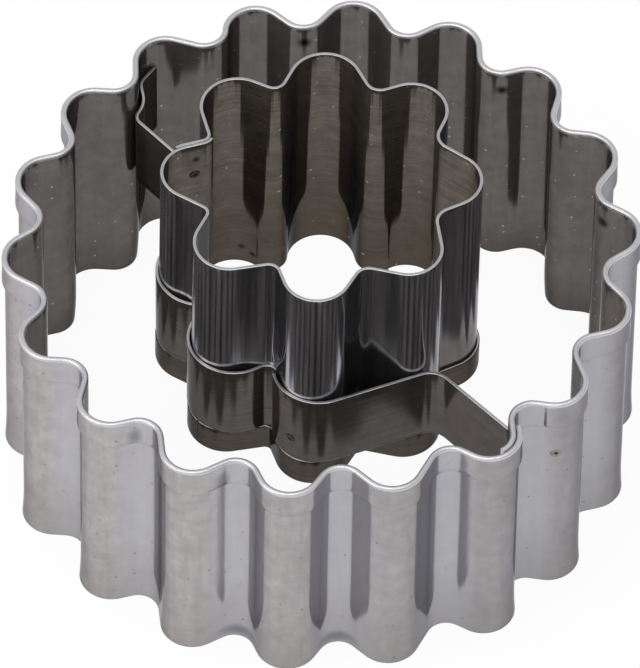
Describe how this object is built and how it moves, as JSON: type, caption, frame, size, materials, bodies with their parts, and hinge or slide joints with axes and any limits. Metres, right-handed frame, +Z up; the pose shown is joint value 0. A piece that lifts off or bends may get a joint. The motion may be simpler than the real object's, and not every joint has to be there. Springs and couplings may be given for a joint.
{
  "type": "linzer cookie cutter",
  "caption": "Round fluted cookie cutter of bright sheet metal with a petalled flower cutter held inside it on a spot-welded band, for linzer cookies.",
  "frame": {"origin": "on the ring's axis, in the plane of its cutting edge", "axes": "+Z up along the ring's axis, from the ring's cutting edge to the flower's; +X through one lobe of the ring and, to the viewer's right, out of the picture's right side"},
  "size_m": [0.05, 0.0494, 0.0304],
  "materials": {
    "ring_tinplate": "satin, rolled",
    "flower_tinplate": "satin, rolled",
    "band_tinplate": "satin, rolled",
    "weld_nuggets": "matt, heat-darkened"
  },
  "bodies": {
    "root": {"outer_ring": "ring_tinplate", "flower_cutter": "flower_tinplate", "carrier_band": "band_tinplate", "ring_seam_welds": "weld_nuggets", "flower_seam_welds": "weld_nuggets", "band_to_flower_welds": "weld_nuggets", "band_to_ring_welds": "weld_nuggets"}
  },
  "joints": []
}
